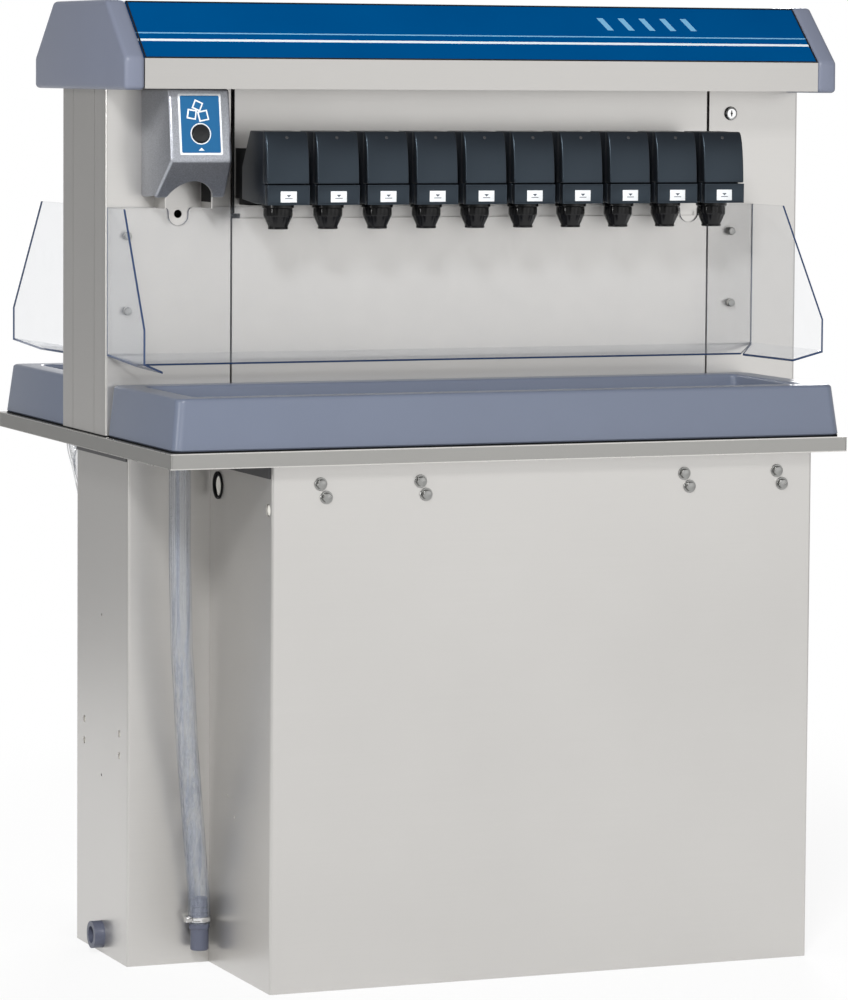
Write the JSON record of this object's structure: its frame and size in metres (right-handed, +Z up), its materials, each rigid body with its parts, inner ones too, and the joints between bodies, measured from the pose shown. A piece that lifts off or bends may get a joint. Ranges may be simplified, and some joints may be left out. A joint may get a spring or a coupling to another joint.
{
  "type": "ice and beverage dispenser",
  "caption": "Drop-in ice and beverage dispenser: insulated cabinet, deck with drip trays, tower with lever valves and ice chute on both sides, sloped blue canopy.",
  "frame": {"origin": "middle of the overall box at the cabinet's base", "axes": "+Z up along the tower, -Y towards the front seen in the picture, +X along the counter to the viewer's right"},
  "size_m": [1.1265, 0.824, 1.399],
  "materials": {
    "stainless": "brushed",
    "foam": "matt foam",
    "liner": "smooth",
    "cast_aluminium": "cast",
    "dark_steel": "satin paint",
    "pvc": "satin",
    "black_rubber": "matt",
    "slate_plastic": "satin",
    "wire_grille": "satin",
    "clear_hose": "clear soft vinyl",
    "clear_acrylic": "clear, polished",
    "bright_steel": "polished",
    "blue_panel": "gloss print",
    "silver_plastic": "fine speckle",
    "dark_plastic": "satin",
    "chrome_trim": "polished",
    "valve_black": "satin, moulded",
    "nozzle_black": "gloss"
  },
  "bodies": {
    "cabinet": {"base_pan": "stainless", "cabinet_panels": "stainless", "insulation_boards": "foam", "bin_liner": "liner", "cold_plate": "cast_aluminium", "support_frame": "dark_steel", "bin_drain": "pvc", "deck": "stainless", "rubber_seals": "black_rubber", "drip_trays": "slate_plastic", "cup_grilles": "wire_grille", "drain_hose_front": "clear_hose", "drain_hose_rear": "clear_hose", "hose_fittings": "pvc", "tower_base": "stainless", "side_covers": "stainless", "column_panels": "stainless", "valve_panels": "stainless", "splash_panels": "stainless", "splash_guards": "clear_acrylic", "fasteners": "bright_steel", "canopy_shell": "stainless", "canopy_panels": "blue_panel", "canopy_caps": "slate_plastic", "lift_tube": "liner", "lift_gearmotor": "dark_steel", "ice_chutes": "stainless", "chute_covers": "silver_plastic", "switch_bodies": "chrome_trim", "product_lines": "bright_steel", "valve_bodies": "dark_plastic", "valve_covers": "valve_black", "valve_nozzles": "nozzle_black", "control_box": "dark_steel"},
    "lift_auger": {"lift_auger": "bright_steel"},
    "chute_door_front": {"chute_door_front": "dark_plastic"},
    "chute_door_rear": {"chute_door_rear": "dark_plastic"},
    "ice_button_front": {"ice_button_front": "dark_plastic"},
    "ice_button_rear": {"ice_button_rear": "dark_plastic"},
    "key_plug": {"key_plug": "chrome_trim"},
    "push_plate_front_1": {"push_plate_front_1": "valve_black"},
    "push_plate_front_2": {"push_plate_front_2": "valve_black"},
    "push_plate_front_3": {"push_plate_front_3": "valve_black"},
    "push_plate_front_4": {"push_plate_front_4": "valve_black"},
    "push_plate_front_5": {"push_plate_front_5": "valve_black"},
    "push_plate_front_6": {"push_plate_front_6": "valve_black"},
    "push_plate_front_7": {"push_plate_front_7": "valve_black"},
    "push_plate_front_8": {"push_plate_front_8": "valve_black"},
    "push_plate_front_9": {"push_plate_front_9": "valve_black"},
    "push_plate_front_10": {"push_plate_front_10": "valve_black"},
    "push_plate_rear_1": {"push_plate_rear_1": "valve_black"},
    "push_plate_rear_2": {"push_plate_rear_2": "valve_black"},
    "push_plate_rear_3": {"push_plate_rear_3": "valve_black"},
    "push_plate_rear_4": {"push_plate_rear_4": "valve_black"},
    "push_plate_rear_5": {"push_plate_rear_5": "valve_black"},
    "push_plate_rear_6": {"push_plate_rear_6": "valve_black"},
    "push_plate_rear_7": {"push_plate_rear_7": "valve_black"},
    "push_plate_rear_8": {"push_plate_rear_8": "valve_black"},
    "push_plate_rear_9": {"push_plate_rear_9": "valve_black"},
    "push_plate_rear_10": {"push_plate_rear_10": "valve_black"}
  },
  "joints": [
    {"name": "auger_spin", "type": "hinge", "parent": "cabinet", "child": "lift_auger", "pos_m": [-0.4525, 0, 0.65], "axis": [0, 0, 1], "continuous": true},
    {"name": "chute_door_front_swing", "type": "hinge", "parent": "cabinet", "child": "chute_door_front", "pos_m": [-0.443, -0.10535, 1.194], "axis": [-1, 0, 0], "range_deg": [0, 35]},
    {"name": "chute_door_rear_swing", "type": "hinge", "parent": "cabinet", "child": "chute_door_rear", "pos_m": [-0.443, 0.10535, 1.194], "axis": [1, 0, 0], "range_deg": [0, 35]},
    {"name": "ice_button_front_press", "type": "slide", "parent": "cabinet", "child": "ice_button_front", "axis": [0, 0.9891, -0.1474], "range_m": [0, 0.003], "stiffness_N_per_m": 400, "springref_m": -0.002},
    {"name": "ice_button_rear_press", "type": "slide", "parent": "cabinet", "child": "ice_button_rear", "axis": [0, -0.9891, -0.1474], "range_m": [0, 0.003], "stiffness_N_per_m": 400, "springref_m": -0.002},
    {"name": "key_turn", "type": "hinge", "parent": "cabinet", "child": "key_plug", "pos_m": [0.44, -0.102, 1.239], "axis": [0, -1, 0], "range_deg": [-90, 0]},
    {"name": "push_plate_front_1_press", "type": "slide", "parent": "cabinet", "child": "push_plate_front_1", "axis": [0, 1, 0], "range_m": [0, 0.003], "stiffness_N_per_m": 400, "springref_m": -0.002},
    {"name": "push_plate_front_2_press", "type": "slide", "parent": "cabinet", "child": "push_plate_front_2", "axis": [0, 1, 0], "range_m": [0, 0.003], "stiffness_N_per_m": 400, "springref_m": -0.002},
    {"name": "push_plate_front_3_press", "type": "slide", "parent": "cabinet", "child": "push_plate_front_3", "axis": [0, 1, 0], "range_m": [0, 0.003], "stiffness_N_per_m": 400, "springref_m": -0.002},
    {"name": "push_plate_front_4_press", "type": "slide", "parent": "cabinet", "child": "push_plate_front_4", "axis": [0, 1, 0], "range_m": [0, 0.003], "stiffness_N_per_m": 400, "springref_m": -0.002},
    {"name": "push_plate_front_5_press", "type": "slide", "parent": "cabinet", "child": "push_plate_front_5", "axis": [0, 1, 0], "range_m": [0, 0.003], "stiffness_N_per_m": 400, "springref_m": -0.002},
    {"name": "push_plate_front_6_press", "type": "slide", "parent": "cabinet", "child": "push_plate_front_6", "axis": [0, 1, 0], "range_m": [0, 0.003], "stiffness_N_per_m": 400, "springref_m": -0.002},
    {"name": "push_plate_front_7_press", "type": "slide", "parent": "cabinet", "child": "push_plate_front_7", "axis": [0, 1, 0], "range_m": [0, 0.003], "stiffness_N_per_m": 400, "springref_m": -0.002},
    {"name": "push_plate_front_8_press", "type": "slide", "parent": "cabinet", "child": "push_plate_front_8", "axis": [0, 1, 0], "range_m": [0, 0.003], "stiffness_N_per_m": 400, "springref_m": -0.002},
    {"name": "push_plate_front_9_press", "type": "slide", "parent": "cabinet", "child": "push_plate_front_9", "axis": [0, 1, 0], "range_m": [0, 0.003], "stiffness_N_per_m": 400, "springref_m": -0.002},
    {"name": "push_plate_front_10_press", "type": "slide", "parent": "cabinet", "child": "push_plate_front_10", "axis": [0, 1, 0], "range_m": [0, 0.003], "stiffness_N_per_m": 400, "springref_m": -0.002},
    {"name": "push_plate_rear_1_press", "type": "slide", "parent": "cabinet", "child": "push_plate_rear_1", "axis": [0, -1, 0], "range_m": [0, 0.003], "stiffness_N_per_m": 400, "springref_m": -0.002},
    {"name": "push_plate_rear_2_press", "type": "slide", "parent": "cabinet", "child": "push_plate_rear_2", "axis": [0, -1, 0], "range_m": [0, 0.003], "stiffness_N_per_m": 400, "springref_m": -0.002},
    {"name": "push_plate_rear_3_press", "type": "slide", "parent": "cabinet", "child": "push_plate_rear_3", "axis": [0, -1, 0], "range_m": [0, 0.003], "stiffness_N_per_m": 400, "springref_m": -0.002},
    {"name": "push_plate_rear_4_press", "type": "slide", "parent": "cabinet", "child": "push_plate_rear_4", "axis": [0, -1, 0], "range_m": [0, 0.003], "stiffness_N_per_m": 400, "springref_m": -0.002},
    {"name": "push_plate_rear_5_press", "type": "slide", "parent": "cabinet", "child": "push_plate_rear_5", "axis": [0, -1, 0], "range_m": [0, 0.003], "stiffness_N_per_m": 400, "springref_m": -0.002},
    {"name": "push_plate_rear_6_press", "type": "slide", "parent": "cabinet", "child": "push_plate_rear_6", "axis": [0, -1, 0], "range_m": [0, 0.003], "stiffness_N_per_m": 400, "springref_m": -0.002},
    {"name": "push_plate_rear_7_press", "type": "slide", "parent": "cabinet", "child": "push_plate_rear_7", "axis": [0, -1, 0], "range_m": [0, 0.003], "stiffness_N_per_m": 400, "springref_m": -0.002},
    {"name": "push_plate_rear_8_press", "type": "slide", "parent": "cabinet", "child": "push_plate_rear_8", "axis": [0, -1, 0], "range_m": [0, 0.003], "stiffness_N_per_m": 400, "springref_m": -0.002},
    {"name": "push_plate_rear_9_press", "type": "slide", "parent": "cabinet", "child": "push_plate_rear_9", "axis": [0, -1, 0], "range_m": [0, 0.003], "stiffness_N_per_m": 400, "springref_m": -0.002},
    {"name": "push_plate_rear_10_press", "type": "slide", "parent": "cabinet", "child": "push_plate_rear_10", "axis": [0, -1, 0], "range_m": [0, 0.003], "stiffness_N_per_m": 400, "springref_m": -0.002}
  ]
}
